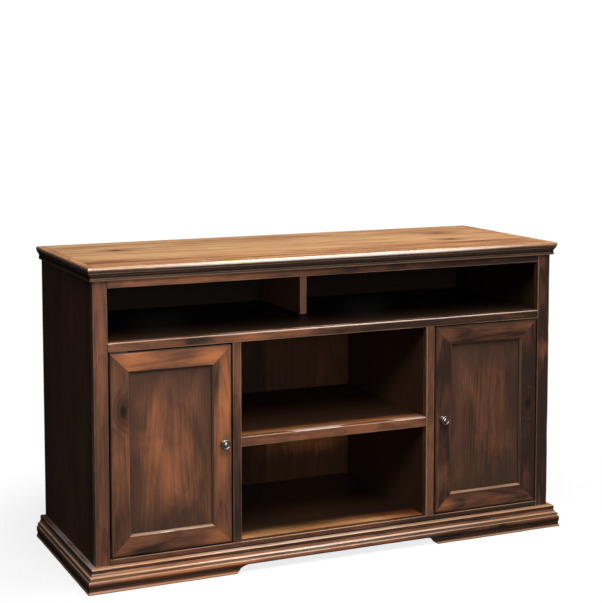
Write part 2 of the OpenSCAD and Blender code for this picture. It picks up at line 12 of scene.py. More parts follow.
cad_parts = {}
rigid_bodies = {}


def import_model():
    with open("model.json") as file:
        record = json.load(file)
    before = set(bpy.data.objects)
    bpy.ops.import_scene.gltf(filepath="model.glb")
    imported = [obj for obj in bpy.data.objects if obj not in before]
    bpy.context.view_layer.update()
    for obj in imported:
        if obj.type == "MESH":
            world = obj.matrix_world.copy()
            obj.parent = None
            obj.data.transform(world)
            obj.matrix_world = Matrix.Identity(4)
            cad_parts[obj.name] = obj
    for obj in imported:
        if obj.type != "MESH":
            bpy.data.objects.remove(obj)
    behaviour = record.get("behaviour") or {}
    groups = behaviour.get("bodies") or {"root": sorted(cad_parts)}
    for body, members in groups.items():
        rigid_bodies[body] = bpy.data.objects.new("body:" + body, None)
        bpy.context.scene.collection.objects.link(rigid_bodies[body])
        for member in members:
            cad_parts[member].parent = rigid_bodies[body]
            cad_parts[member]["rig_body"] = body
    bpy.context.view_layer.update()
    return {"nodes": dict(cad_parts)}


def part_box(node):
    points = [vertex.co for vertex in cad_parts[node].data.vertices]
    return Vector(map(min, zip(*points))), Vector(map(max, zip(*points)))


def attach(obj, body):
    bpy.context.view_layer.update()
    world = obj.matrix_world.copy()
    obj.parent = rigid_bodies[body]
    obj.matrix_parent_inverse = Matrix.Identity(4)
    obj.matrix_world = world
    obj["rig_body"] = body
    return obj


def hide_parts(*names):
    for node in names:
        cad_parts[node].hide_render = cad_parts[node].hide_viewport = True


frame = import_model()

bl_info = {
    "name": "Alder television console",
    "version": (1, 0, 0),
    "blender": (4, 5, 0),
    "location": "View3D > Sidebar > Console",
    "description": "Dresses the console's packed boards with worn edges, stained wood and hardware finishes",
    "category": "Object",
}

BODIES = {name: node["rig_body"] for name, node in frame["nodes"].items()}
MM = 0.001
AXES = "XYZ"
LOW, HIGH = 0, 1
SIDES = (("left", "low"), ("right", "high"))
X, Y, Z = 0, 1, 2


# Settings


def shade(code):
    """A colour written as the eye sees it, such as "c8925c", as linear red, green and blue."""
    parts = [int(code[i:i + 2], 16) / 255 for i in (0, 2, 4)]
    return tuple(c / 12.92 if c <= 0.04045 else ((c + 0.055) / 1.055) ** 2.4 for c in parts)


def colour_setting(name, description, code):
    return FloatVectorProperty(name=name, description=description, subtype="COLOR", size=3, min=0, max=1,
                               default=shade(code))


def length_setting(name, description, default):
    return FloatProperty(name=name, description=description, subtype="DISTANCE", unit="LENGTH", min=0,
                         default=default)


def power_setting(name, description, default):
    return FloatProperty(name=name, description=description, unit="POWER", min=0, default=default)


class ConsoleStains(bpy.types.PropertyGroup):
    """Colours of the stains, the glaze and the metals"""

    natural_light: colour_setting("Natural light", "Lightest tone of the top", "e8b47c")
    natural_mid: colour_setting("Natural middle", "Middle tone of the top", "c98d58")
    natural_dark: colour_setting("Natural dark", "Darkest tone of the top", "8a4822")
    face_light: colour_setting("Face light", "Lightest tone of the front frame, doors and mouldings", "a8673f")
    face_mid: colour_setting("Face middle", "Middle tone of the front frame, doors and mouldings", "6c4430")
    face_dark: colour_setting("Face dark", "Darkest tone of the front frame, doors and mouldings", "2f1f18")
    side_light: colour_setting("Side light", "Lightest tone of the side panels", "5a3c2b")
    side_mid: colour_setting("Side middle", "Middle tone of the side panels", "412c20")
    side_dark: colour_setting("Side dark", "Darkest tone of the side panels", "2a1c15")
    inner_light: colour_setting("Inner light", "Lightest tone of the boards inside", "935c35")
    inner_mid: colour_setting("Inner middle", "Middle tone of the boards inside", "54331f")
    inner_dark: colour_setting("Inner dark", "Darkest tone of the boards inside", "2e1c13")
    # Glaze also gives the colour of the painted shade in the hollows, the bays, the door gap and along the mouldings.
    glaze: colour_setting("Glaze", "Dark glaze left in hollows and joints", "1a120e")
    smoke: colour_setting("Smoke", "Thin grey glaze burnished towards the edges", "35271f")
    # Rubbed also gives the colour of the painted highlight lines along the mouldings.
    rubbed: colour_setting("Rubbed", "Stain rubbed through on worn edges", "c69974")
    # Colour of the painted highlight streaks on rounded noses and arrises.
    wax: colour_setting("Wax", "Pale wax that catches the light on a rounded nose", "f3dfd2")
    pewter: colour_setting("Pewter", "Metal of the knobs", "989088")
    brass: colour_setting("Brass", "Aged metal of the hinges", "4f4030")
    steel: colour_setting("Steel", "Metal of the pins, strikes and screws", "8e8c87")
    catch: colour_setting("Catch", "Plastic of the catches", "20201f")


class ConsoleWear(bpy.types.PropertyGroup):
    """How far the boards' edges are eased and worn"""

    ease: length_setting("Ease", "Width of the chamfer that takes off a sharp edge", 0.9 * MM)
    wave: length_setting("Wave", "Depth of the long hollows rubbed into an edge", 0.6 * MM)
    nick: length_setting("Nick", "Depth of the short nicks in an edge", 0.8 * MM)
    step: length_setting("Step", "Distance between the sections that follow the wear", 14 * MM)


class ConsoleStudio(bpy.types.PropertyGroup):
    """Light and ground of the studio"""

    ground: colour_setting("Ground", "Colour of the floor", "f4f3f1")
    ambient: FloatProperty(name="Ambient", description="Strength of the light from all round", min=0, default=0.11)
    key: power_setting("Key", "Power of the large soft box high in front", 74)
    strip: power_setting("Strip", "Power of the narrow box over the top", 55)
    fill: power_setting("Fill", "Power of the soft box level with the front", 40)
    rear: power_setting("Rear", "Power of the low soft box behind", 16)


# Nodes


class Wire:
    """A socket that takes part in sums, so that an expression on it adds the Math nodes that work it out."""

    def __init__(self, recipe, socket):
        self.recipe = recipe
        self.socket = socket

    def _math(self, operation, *terms):
        return self.recipe.node("ShaderNodeMath", {"operation": operation}, dict(enumerate(terms)))

    def __add__(self, other):
        return self._math("ADD", self, other)

    __radd__ = __add__

    def __sub__(self, other):
        return self._math("SUBTRACT", self, other)

    def __rsub__(self, other):
        return self._math("SUBTRACT", other, self)

    def __mul__(self, other):
        return self._math("MULTIPLY", self, other)

    __rmul__ = __mul__

    def __truediv__(self, other):
        return self._math("DIVIDE", self, other)

    def __rtruediv__(self, other):
        return self._math("DIVIDE", other, self)

    def floor(self):
        return self._math("FLOOR", self)

    def fraction(self):
        return self._math("FRACT", self)

    def least(self, other):
        return self._math("MINIMUM", self, other)

    def most(self, other):
        return self._math("MAXIMUM", self, other)

    def root(self):
        return self._math("SQRT", self)

    def distance(self, place):
        return self._math("ABSOLUTE", self - place)

    def ramp(self, low, high, start=0.0, end=1.0):
        """Goes smoothly from start to end as the value goes from low to high."""
        return self.recipe.node("ShaderNodeMapRange", {"interpolation_type": "SMOOTHSTEP"},
                                {0: self, 1: low, 2: high, 3: start, 4: end})


def opaque(colour):
    return (*colour[:3], 1.0)


class Recipe:
    """A finish in the making: a tree of nodes, and the one way in which nodes are added to it."""

    def __init__(self, owner):
        owner.use_nodes = True
        self.tree = owner.node_tree
        self.tree.nodes.clear()

    def node(self, kind, settings=None, inputs=None, output=0):
        made = self.tree.nodes.new(kind)
        for key, value in (settings or {}).items():
            if key == "stops":
                ramp = made.color_ramp
                while len(ramp.elements) < len(value):
                    ramp.elements.new(0.5)
                for element, (place, colour) in zip(ramp.elements, value):
                    element.position = place
                    element.color = opaque(colour)
            else:
                setattr(made, key, value)
        for key, value in (inputs or {}).items():
            if isinstance(value, Wire):
                self.tree.links.new(value.socket, made.inputs[key])
            else:
                made.inputs[key].default_value = value
        return Wire(self, made.outputs[output]) if len(made.outputs) else None

    def place(self):
        """The point on the surface, in metres, as three values."""
        point = self.node("ShaderNodeTexCoord", output="Object")
        return [self.node("ShaderNodeSeparateXYZ", inputs={0: point}, output=i) for i in (X, Y, Z)]

    def vector(self, x, y, z):
        return self.node("ShaderNodeCombineXYZ", inputs={X: x, Y: y, Z: z})

    def noise(self, vector, detail=2.0, roughness=0.5, distortion=0.0):
        return self.node("ShaderNodeTexNoise", inputs={
            "Vector": vector, "Scale": 1.0, "Detail": detail, "Roughness": roughness, "Distortion": distortion})

    def even_noise(self, size, detail, roughness=0.5):
        """Noise of a size per metre that is the same every way."""
        return self.noise(self.vector(*(value * size for value in self.place())), detail, roughness)

    def painted(self, name):
        """A value kept on the mesh, which is 0 where the mesh has none."""
        return self.node("ShaderNodeAttribute", {"attribute_name": name}, output="Fac")

    def mix(self, share, first, second):
        def colour(value):
            return value if isinstance(value, Wire) else opaque(value)

        return self.node("ShaderNodeMix", {"data_type": "RGBA"}, {0: share, 6: colour(first), 7: colour(second)},
                         output=2)

    def surface(self, height, depth, **sockets):
        """The closing shader; height, from 0 to 1, lifts the surface by up to depth, in metres."""
        inputs = {key.replace("_", " "): value for key, value in sockets.items()}
        inputs["Normal"] = self.node("ShaderNodeBump", inputs={"Strength": 1.0, "Distance": depth, "Height": height})
        shader = self.node("ShaderNodeBsdfPrincipled", inputs=inputs)
        self.node("ShaderNodeOutputMaterial", inputs={"Surface": shader})


# Wood


@dataclass
class Look:
    """How a board's grain, glaze, wear and painted light and shade differ from the plain finish. Places and widths
    are in metres.
    """

    tone: float = 0.0  # how much lighter the stain is than its middle tone or, below 0, darker
    contrast: float = 1.0  # how strongly the whole grain shows
    mottle: float = 0.95  # how strongly it shows as clouds
    figure: float = 0.2  # how strongly it shows as ribbons
    planks: float = 0.0  # width of the planks that are glued up to the board, or 0 for a single one
    knots: tuple = ()  # place along and across the grain, radius
    spots: tuple = ()  # place along and across the grain, half lengths both ways, how much lighter
    burnish: float = 0.0  # how much grey glaze is burnished in from the long edges and the ends
    sunburst: float = 0.0  # how much grey glaze is left between the edges and a clear middle
    recess: tuple = None  # y at which the painted shade of a bay starts, y at which it is full, and how dark it is
    under: float = None  # height below which the board wears the darker stain of the front
    hollow_glaze_and_shade: float = 1.0  # how much glaze, partly painted shade, the board's hollows keep
    slope: tuple = None  # the side of a door's member that slopes, and how wide the dark of the slope is: glaze and painted shade
    butt: float = 0.0  # how dark the lines are that end the board
    rim: float = 0.0  # how dark the lines are along its edges
    bands: tuple = ()  # along a moulding: height, half width, and how much painted highlight is laid in the rubbed colour or, below 0, painted shade in the glaze colour
    rub: float = 0.5  # how far the arrises are rubbed through
    waxed: tuple = ()  # height, half width, place along the board, half length, strength of a painted highlight streak
    gloss: float = None  # weight of the lacquer, where it isn't the stain's own


# Noise that runs with the grain: per metre along it and across it, detail, roughness, distortion
FIBRES = {
    "bends": (2.6, 9.0, 2.0, 0.5, 0.0),
    "patches": (4.6, 12.0, 4.0, 0.58, 0.6),
    "clouds": (9.0, 30.0, 3.0, 0.6, 0.0),
    "ribbons": (2.0, 52.0, 2.0, 0.5, 0.0),
    "streaks": (5.0, 170.0, 2.0, 0.6, 0.0),
    "hairs": (14.0, 360.0, 2.0, 0.5, 0.0),
}
STREAK_SHARE, LATE_SHARE, HAIR_SHARE, PLANK_SHARE = 0.30, 0.12, 0.34, 0.34
RINGS_PER_METRE = 150.0
PITH_DEPTH, PITH_DRIFT = 55 * MM, 20 * MM
LOG_TAPER, TAPER_DRIFT = 0.035, 0.01
RING_WAVER = 22 * MM
KNOT_SWELL, KNOT_STRETCH = 20 * MM, 0.55
STAIN_STOPS = (0.12, 0.5, 0.9)
SHEEN = {
    "natural": dict(rough=0.42, level=0.20, coat=0.50),
    "face": dict(rough=0.45, level=0.12, coat=0.75),
    "side": dict(rough=0.55, level=0.06, coat=0.0),
    "inner": dict(rough=0.50, level=0.08, coat=0.0),
}
COAT_ROUGHNESS = 0.16
LACQUER_IOR, WAX_IOR = 1.5, 1.9
GRAIN_DEPTH = 0.22 * MM
MOST_SMOKE, MOST_GLAZE, MOST_WORN = 0.9, 0.96, 0.85


class Timber:
    """A board's wood: where each point of the surface lies in the log, and the grain that shows there."""

    def __init__(self, recipe, seed, grain, face, box, look):
        self.recipe, self.seed, self.look = recipe, seed, look
        self.place = recipe.place()
        g, f = AXES.index(grain), AXES.index(face)
        w = X + Y + Z - g - f
        low, high = box
        self.along, self.across, self.through = self.place[g], self.place[w], self.place[f]
        self.ends = (self.along - low[g]).least(high[g] - self.along)
        self.edge = {"low": self.across - low[w], "high": high[w] - self.across}
        self.sides = self.edge["low"].least(self.edge["high"])
        self.saw((low[w] + high[w]) / 2, high[w] - low[w])
        self.fibres = {kind: self.drawn_out(*sizes) for kind, sizes in FIBRES.items()}
        self.bend = self.fibres["bends"] - 0.5
        self.late = self.late_wood((low[f] + high[f]) / 2)

    def saw(self, middle, width):
        """Sets how far the log's heart lies across the board, where each plank comes from another log."""
        self.ahead = self.along
        self.joint = self.shift = None
        planks = self.look.planks
        if planks:
            count = self.across / planks + 0.37 * self.seed
            within = count.fraction()
            self.shift = self.recipe.node("ShaderNodeTexWhiteNoise", {"noise_dimensions": "1D"},
                                          {"W": count.floor() + self.seed})
            self.from_heart = (within - 0.5) * planks + (self.shift - 0.5) * planks * 0.8
            self.joint = within.least(1 - within) * planks
            self.ahead = self.along + self.shift * 3.1
        else:
            self.from_heart = self.across - (middle + 0.17 * width * math.sin(self.seed * 2.4))

    def drawn_out(self, lengthwise, crosswise, detail, roughness, distortion):
        return self.recipe.noise(
            self.recipe.vector(self.ahead * lengthwise + self.seed * 1.7, self.across * crosswise + self.seed * 3.1,
                               self.through * crosswise + self.seed), detail, roughness, distortion)

    def late_wood(self, middle):
        """1 on the dark line of each year's ring. The log tapers, and its pith lies behind the board's face."""
        behind = self.through - (middle + PITH_DEPTH + PITH_DRIFT * math.sin(self.seed * 1.3))
        taper = LOG_TAPER + TAPER_DRIFT * math.sin(self.seed)
        radius = (self.from_heart * self.from_heart + behind * behind).root() \
            + self.ahead * taper + self.bend * RING_WAVER
        self.heart = self.halo = None
        for knot_along, knot_across, knot_radius in self.look.knots:
            run = (self.along - knot_along) * KNOT_STRETCH
            rise = self.across - knot_across
            away = (run * run + rise * rise).root() / knot_radius
            radius = radius + away.ramp(0.0, 4.5, KNOT_SWELL, 0.0)
            heart = (away + self.bend * 2.2).ramp(0.3, 1.3, 1.0, 0.0)
            halo = (away + self.bend * 3.5).ramp(0.8, 4.2, 0.6, 0.0)
            self.heart = heart if self.heart is None else self.heart.most(heart)
            self.halo = halo if self.halo is None else self.halo.most(halo)
        ring = (radius * RINGS_PER_METRE).fraction()
        return ring.ramp(0.35, 0.92) * ring.ramp(0.93, 1.0, 1.0, 0.0)

    def value(self):
        """How light the wood is: 0.5 is the stain's middle tone."""
        look, fibres = self.look, self.fibres
        grain = ((fibres["patches"] - 0.5) * look.mottle + (fibres["ribbons"] - 0.5) * look.figure
                 + (fibres["streaks"] - 0.5) * STREAK_SHARE - (self.late - 0.35) * LATE_SHARE
                 + (fibres["hairs"] - 0.5) * HAIR_SHARE)
        value = 0.5 + look.tone + grain * look.contrast
        if self.shift is not None:
            value = value + (self.shift - 0.5) * PLANK_SHARE * min(1.0, look.contrast)
        for spot_along, spot_across, half_along, half_across, lift in look.spots:
            run = (self.along - spot_along) / half_along
            rise = (self.across - spot_across) / half_across
            value = value + ((run * run + rise * rise).root() + self.bend * 1.2).ramp(0.1, 1.3, lift, 0.0)
        return value


class Finish:
    """A board's stain, glaze, wear, painted light and shade, and lacquer, each laid over the one before."""

    def __init__(self, timber, stain):
        self.timber, self.stain, self.look = timber, stain, timber.look
        self.recipe, self.fibres = timber.recipe, timber.fibres
        self.stains = bpy.context.scene.console_stains
        self.value = timber.value()
        self.colour = self.stained(stain)
        self.knots_and_smoke()
        self.shadow_of_bay()
        self.glaze_and_shade = self.glaze()
        self.worn = self.wear()
        if self.look.under is not None:
            self.darker_below()
        self.rub_and_fill()
        self.polish()

    def stained(self, stain):
        tones = [getattr(self.stains, stain + ending) for ending in ("_dark", "_mid", "_light")]
        return self.recipe.node("ShaderNodeValToRGB", {"stops": list(zip(STAIN_STOPS, tones))}, {0: self.value})

    def lay(self, share, colour):
        self.colour = self.recipe.mix(share, self.colour, colour)

    def knots_and_smoke(self):
        timber, look, stains = self.timber, self.look, self.stains
        uneven = self.fibres["patches"] - 0.5
        if timber.halo is not None:
            self.lay(timber.halo, getattr(stains, self.stain + "_dark"))
        if look.burnish:
            along_sides = timber.sides + (self.fibres["clouds"] - 0.5) * 30 * MM
            smoked = along_sides.ramp(0.0, 16 * MM, look.burnish, 0.0) \
                + (timber.ends + uneven * 60 * MM).ramp(0.0, 50 * MM, look.burnish * 0.5, 0.0)
            self.lay(smoked.least(MOST_SMOKE), stains.smoke)
        if look.sunburst:
            from_rim = (timber.ends * 0.62).least(timber.sides) + uneven * 60 * MM
            self.lay(from_rim.ramp(0.0, 95 * MM, look.sunburst, 0.0), stains.smoke)

    def shadow_of_bay(self):
        """Painted shade inside the bays, in the glaze colour, and not on the outer faces of the sides and the back.
        """
        if not self.look.recess:
            return
        start, end, strength = self.look.recess
        x, y, _ = self.timber.place
        inner_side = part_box("side_right")[LOW][X]
        outer_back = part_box("back_lower")[HIGH][Y]
        inside = x.distance(0.0).ramp(inner_side + 0.5 * MM, inner_side + 2 * MM, 1.0, 0.0) \
            * y.ramp(outer_back - 2 * MM, outer_back - 0.5 * MM, 1.0, 0.0)
        # painted shade across the depth of the bay
        self.lay((y + (self.fibres["clouds"] - 0.5) * 40 * MM).ramp(start, end, 0.0, strength) * inside,
                 self.stains.glaze)

    def glaze(self):
        """How much dark glaze hollows, slopes, ends, edges, glue lines and knots keep; in the hollows and on the
        slopes it is partly painted shade.
        """
        timber, look = self.timber, self.look
        # glaze in the hollows, partly painted shade
        glaze_and_shade = self.recipe.painted("hollow") * (0.55 + self.fibres["clouds"] * 0.7) * look.hollow_glaze_and_shade
        if look.slope:
            side, width = look.slope
            # the dark of the slope: glaze and painted shade
            glaze_and_shade = glaze_and_shade + timber.edge[side].ramp(width - 0.6 * MM, width + 0.4 * MM, 0.92, 0.0)
        if look.butt:
            glaze_and_shade = glaze_and_shade + timber.ends.ramp(0.4 * MM, 1.8 * MM, look.butt, 0.0)
        if look.rim:
            glaze_and_shade = glaze_and_shade + timber.sides.ramp(0.6 * MM, 2.2 * MM, look.rim, 0.0)
        if timber.joint is not None:
            glaze_and_shade = glaze_and_shade + timber.joint.ramp(0.0, 1.2 * MM, 0.3, 0.0)
        if timber.heart is not None:
            glaze_and_shade = glaze_and_shade + timber.heart * 0.8
        return glaze_and_shade

    def wear(self):
        """How far the stain is rubbed off the arrises."""
        return (self.recipe.painted("arris") * (0.25 + self.fibres["streaks"] * 0.9)).ramp(0.30, 0.80, 0.0,
                                                                                        self.look.rub)

    def darker_below(self):
        height = self.timber.place[Z] + (self.fibres["clouds"] - 0.5) * 2 * MM
        below = height.ramp(self.look.under - 1.2 * MM, self.look.under, 1.0, 0.0)
        self.lay(below, self.recipe.mix(0.5, self.stained("face"), self.stains.glaze))
        self.worn = self.worn * (1 - below)

    def rub_and_fill(self):
        """Adds a moulding's painted highlight and shade lines and the painted shade of the door gap, then lays glaze,
        wear and painted highlight streaks.
        """
        timber, fibres = self.timber, self.fibres
        # painted highlight lines, in the rubbed colour, and painted shade lines, in the glaze colour, along a
        # moulding
        for height, half_width, amount in self.look.bands:
            band = timber.place[Z].distance(height).ramp(half_width * 0.4, half_width, abs(amount), 0.0) \
                * (0.55 + fibres["patches"] * 0.5 + fibres["streaks"] * 0.4)
            if amount > 0:
                self.worn = self.worn + band
            else:
                self.glaze_and_shade = self.glaze_and_shade + band
        # painted shade in the gap round the doors, in the glaze colour
        gap = door_gap_shade(timber.place)
        self.glaze_and_shade = (self.glaze_and_shade + gap).least(MOST_GLAZE)
        self.worn = self.worn.least(MOST_WORN) * (1 - gap * 0.7)
        self.lay(self.glaze_and_shade, self.stains.glaze)
        # rubbed-through wear, together with the painted highlight lines
        self.lay(self.worn, self.stains.rubbed)
        # painted highlight streaks
        for height, half_width, middle, half_length, strength in self.look.waxed:
            streak = (timber.place[Z] + (fibres["clouds"] - 0.5) * 2 * MM).distance(height)
            lengthwise = (timber.along + (fibres["patches"] - 0.5) * 0.3).distance(middle)
            share = streak.ramp(half_width * 0.5, half_width * 1.2, strength, 0.0) \
                * lengthwise.ramp(half_length * 0.6, half_length, 1.0, 0.0)
            self.lay(share * (0.75 + fibres["streaks"] * 0.5), self.stains.wax)

    def polish(self):
        sheen, fibres = SHEEN[self.stain], self.fibres
        rough = sheen["rough"] + (fibres["streaks"] - 0.5) * 0.16 + self.glaze_and_shade * 0.18 - self.worn * 0.06
        gloss = self.look.gloss
        coat = sheen["coat"] if gloss is None else gloss
        # a full-strength coat takes the higher coat IOR
        waxed = gloss is not None and gloss >= 1
        height = fibres["hairs"] * 0.5 + self.timber.late * 0.25 + fibres["streaks"] * 0.35
        if self.timber.heart is not None:
            height = height - self.timber.heart * 0.5
        self.recipe.surface(height, GRAIN_DEPTH, Base_Color=self.colour, Roughness=rough,
                            Specular_IOR_Level=sheen["level"],
                            Coat_Weight=(1 - self.glaze_and_shade * 0.85) * coat if coat else 0.0,
                            Coat_Roughness=COAT_ROUGHNESS, Coat_IOR=WAX_IOR if waxed else LACQUER_IOR)


def door_gap_shade(place):
    """Glaze and painted shade on all that faces the gap round a door, and on the worn rim of the door itself."""
    gap = 3 * MM
    free_stile, hinge_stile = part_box("door_right_free_stile"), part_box("door_right_hinge_stile")
    left, front, bottom = free_stile[LOW]
    right, behind, top = hinge_stile[HIGH]
    x, y, z = place
    side = x.distance(0.0).distance((left + right) / 2) - (right - left) / 2
    end = z.distance((bottom + top) / 2) - (top - bottom) / 2
    outside = side.most(end)
    around = outside.ramp(-4.2 * MM, -1.6 * MM) * outside.ramp(gap + 0.3 * MM, gap + 1.3 * MM, 1.0, 0.0)
    half_depth = (behind - front) / 2
    return around * y.distance((front + behind) / 2).ramp(half_depth, half_depth + 2 * MM, 1.0, 0.0)


# Other finishes


def new_material(name):
    material = bpy.data.materials.new(name)
    return material, Recipe(material)


def metal(name, colour, rough, patina):
    """Cast or drawn metal with a soft mottle, darker in its hollows."""
    material, recipe = new_material(name)
    mottle = recipe.even_noise(260.0, 3.0, 0.6)
    grime = (recipe.painted("hollow") * patina + (mottle - 0.5) * 0.35).least(0.85).most(0.0)
    tone = recipe.mix(grime, colour, bpy.context.scene.console_stains.glaze)
    recipe.surface(mottle, 0.06 * MM, Base_Color=tone, Metallic=1.0,
                   Roughness=rough + (mottle - 0.5) * 0.18 + grime * 0.2)
    return material


def moulded_plastic(name, colour):
    material, recipe = new_material(name)
    pimple = recipe.even_noise(1400.0, 1.0)
    cloud = recipe.even_noise(60.0, 2.0)
    recipe.surface(pimple, 0.04 * MM, Base_Color=recipe.mix(cloud * 0.3, colour, (0.05, 0.05, 0.05)),
                   Roughness=0.42 + (cloud - 0.5) * 0.1, Specular_IOR_Level=0.4)
    return material


# Boards

SUPPORT = 6 * MM
ARRIS_FULL, HOLLOW_FULL = 2.2 * MM, 3.0 * MM
BOARD_CREASE, KNOB_CREASE = 38, 50
MITRE_CLEAR, MITRE_FADE = 12 * MM, 16 * MM
CORNER_REACH, CORNER_DEPTH = 8 * MM, 1.7 * MM
CORNER_CUTS = (2.2 * MM, 4.6 * MM)
SWELLS_PER_METRE, NICKS_PER_METRE = 9.0, 34.0
ARRIS_ANGLE, FLAT_ANGLE = 0.6, 0.01


def section_places(low, high, step, seed):
    """Places between low and high, unevenly about a step apart."""
    count = max(1, int((high - low) / step))
    for i in range(1, count):
        jitter = noise.noise(Vector((i * 7.3, seed, 0.5))) * 0.3
        yield low + (high - low) * (i + jitter) / count


def cut_across(mesh, axis, place):
    normal = Vector((0, 0, 0))
    normal[axis] = 1
    mesh_parts = mesh.verts[:] + mesh.edges[:] + mesh.faces[:]
    bmesh.ops.bisect_plane(mesh, geom=mesh_parts, dist=2e-6, plane_co=normal * place, plane_no=normal)


def follows(edge, axis):
    run = edge.verts[1].co - edge.verts[0].co
    return run.length > 1e-7 and abs(run[axis]) / run.length > 0.985


def bending(edge):
    """How tightly the surface turns over an edge, per metre: above 0 on an arris, below 0 in a hollow."""
    if len(edge.link_faces) != 2:
        return 0.0
    start, end = edge.verts[0].co, edge.verts[1].co
    run = (end - start).normalized()
    widths = [max(((v.co - start) - run * (v.co - start).dot(run)).length for v in face.verts)
              for face in edge.link_faces]
    return edge.calc_face_angle_signed(0.0) / max(min(widths), 0.2 * MM)


def paint_bends(mesh, axis):
    """Keeps on each vertex how much of an arris or of a hollow it lies on, along an axis or any way."""
    arris = mesh.verts.layers.float.new("arris")
    hollow = mesh.verts.layers.float.new("hollow")
    for vert in mesh.verts:
        turns = [bending(e) for e in vert.link_edges if axis is None or follows(e, axis)]
        vert[arris] = min(1.0, max(0.0, max(turns, default=0.0) * ARRIS_FULL))
        vert[hollow] = min(1.0, max(0.0, -min(turns, default=0.0) * HOLLOW_FULL))
    return arris


def clean_mesh(node):
    mesh = bmesh.new()
    mesh.from_mesh(frame["nodes"][node].data)
    bmesh.ops.remove_doubles(mesh, verts=mesh.verts[:], dist=1e-6)
    return mesh


def mitre_distance(point, low, high, axis, mitre):
    """How far along the board a point lies from the mitre planes at its ends."""
    other, outer = AXES.index(mitre[0]), mitre[1]
    from_outer = point[other] - low[other] if outer == "low" else high[other] - point[other]
    return min(point[axis] - low[axis], high[axis] - point[axis]) - from_outer


def wear_arrises(mesh, arris, axis, seed, wear, mitre, low, high):
    """Rubs long hollows and short nicks into the arrises, less and less towards a mitre."""
    setting = bpy.context.scene.console_wear
    mesh.normal_update()
    moves = {}
    for vert in mesh.verts:
        if vert[arris] <= 0:
            continue
        swell = noise.noise(vert.co * SWELLS_PER_METRE + Vector((seed, 0, 0)))
        chip = noise.noise(vert.co * NICKS_PER_METRE + Vector((0, seed, 0)))
        depth = max(0.0, swell + 0.05) * setting.wave + max(0.0, chip - 0.25) * 1.6 * setting.nick
        if mitre:
            clear = mitre_distance(vert.co, low, high, axis, mitre) - MITRE_CLEAR
            depth *= min(1.0, max(0.0, clear / MITRE_FADE))
        moves[vert] = vert.normal * (-depth * wear * vert[arris])
    for vert, move in moves.items():
        vert.co += move


def press_mark(mesh, point, radius, depth):
    for vert in mesh.verts:
        away = (vert.co - Vector(point)).length / radius
        if away < 1:
            vert.co -= vert.normal * depth * (1 - away * away)


def soften_corner(mesh, axis, corner):
    """Rounds a mitred corner, seen from the front, as hands wear it."""
    middle = sum((vert.co for vert in mesh.verts), Vector()) / len(mesh.verts)
    inward = Vector((math.copysign(1, middle.x - corner.x), 0, math.copysign(1, middle.z - corner.z)))
    for place in CORNER_CUTS:
        cut_across(mesh, axis, corner[axis] + inward[axis] * place)
    for vert in mesh.verts:
        away = abs(vert.co.x - corner.x) + abs(vert.co.z - corner.z)
        if away < CORNER_REACH:
            vert.co += inward * (CORNER_DEPTH * (1 - away / CORNER_REACH) ** 2)


def worn_board(node, material, grain, wear, support, marks, ease, mitre, corners):
    """A copy of a board with eased, hand-worn edges, which stands for the plain one."""
    setting = bpy.context.scene.console_wear
    axis = AXES.index(grain)
    seed = sum(map(ord, node)) % 97
    mesh = clean_mesh(node)
    bmesh.ops.dissolve_limit(mesh, angle_limit=FLAT_ANGLE, verts=mesh.verts[:], edges=mesh.edges[:])
    sharp = [e for e in mesh.edges if len(e.link_faces) == 2 and follows(e, axis)
             and e.calc_face_angle_signed(0.0) > ARRIS_ANGLE]
    if sharp and setting.ease > 0:
        bmesh.ops.bevel(mesh, geom=sharp, offset=ease or setting.ease, offset_type="OFFSET", segments=2, profile=0.5,
                        affect="EDGES", clamp_overlap=True)
    low = Vector([min(v.co[i] for v in mesh.verts) for i in (X, Y, Z)])
    high = Vector([max(v.co[i] for v in mesh.verts) for i in (X, Y, Z)])
    for other in (X, Y, Z):
        if support > 0 and other != axis and high[other] - low[other] > 2.4 * support:
            cut_across(mesh, other, low[other] + support)
            cut_across(mesh, other, high[other] - support)
    if wear > 0:
        for place in section_places(low[axis], high[axis], setting.step, seed):
            cut_across(mesh, axis, place)
    arris = paint_bends(mesh, axis)
    if wear > 0:
        wear_arrises(mesh, arris, axis, seed, wear, mitre, low, high)
        for point, radius, depth in marks:
            press_mark(mesh, point, radius, depth)
    for corner in corners:
        soften_corner(mesh, axis, corner)
    stand_in(mesh, node, "_worn", BOARD_CREASE, material)


def stand_in(mesh, node, ending, crease, material):
    """Makes the mesh the piece that stands for a node, with edges that turn by more than crease degrees sharp."""
    mesh.normal_update()
    for face in mesh.faces:
        face.smooth = True
    for edge in mesh.edges:
        edge.smooth = len(edge.link_faces) == 2 and edge.calc_face_angle(0.0) < math.radians(crease)
    data = bpy.data.meshes.new(node + ending)
    mesh.to_mesh(data)
    mesh.free()
    data.materials.append(material)
    piece = bpy.data.objects.new(node + ending, data)
    bpy.context.scene.collection.objects.link(piece)
    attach(piece, BODIES[node])
    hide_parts(node)


def finished(node, material):
    """Gives a board or fitting that keeps its own shape its finish."""
    data = frame["nodes"][node].data
    data.materials.clear()
    data.materials.append(material)


def grain_seed(node):
    return (sum(ord(c) * (i + 3) for i, c in enumerate(node)) % 89) * 0.73 + 1.0


def make_board(node, stain, grain, face, wear=1.0, support=SUPPORT, marks=(), ease=None, mitre=None, corners=(),
               **look):
    """Finishes a board whose fibres follow the axis grain and which looks along the axis face. It is worn by so
    much, or keeps its own shape where wear is None. mitre is the axis across the board and the side of it on
    which the mitres are longest. Marks are dents: a point, a radius and a depth. The rest is a Look."""
    material, recipe = new_material(node + "_wood")
    Finish(Timber(recipe, grain_seed(node), grain, face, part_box(node), Look(**look)), stain)
    if wear is None:
        finished(node, material)
    else:
        worn_board(node, material, grain, wear, support, marks, ease, mitre, corners)


# Pieces


class ConsoleOperator(bpy.types.Operator):
    bl_options = {"REGISTER", "UNDO"}

    def execute(self, context):
        if not frame["nodes"]:
            raise RuntimeError("the packed console is not loaded")
        self.make(context)
        return {"FINISHED"}


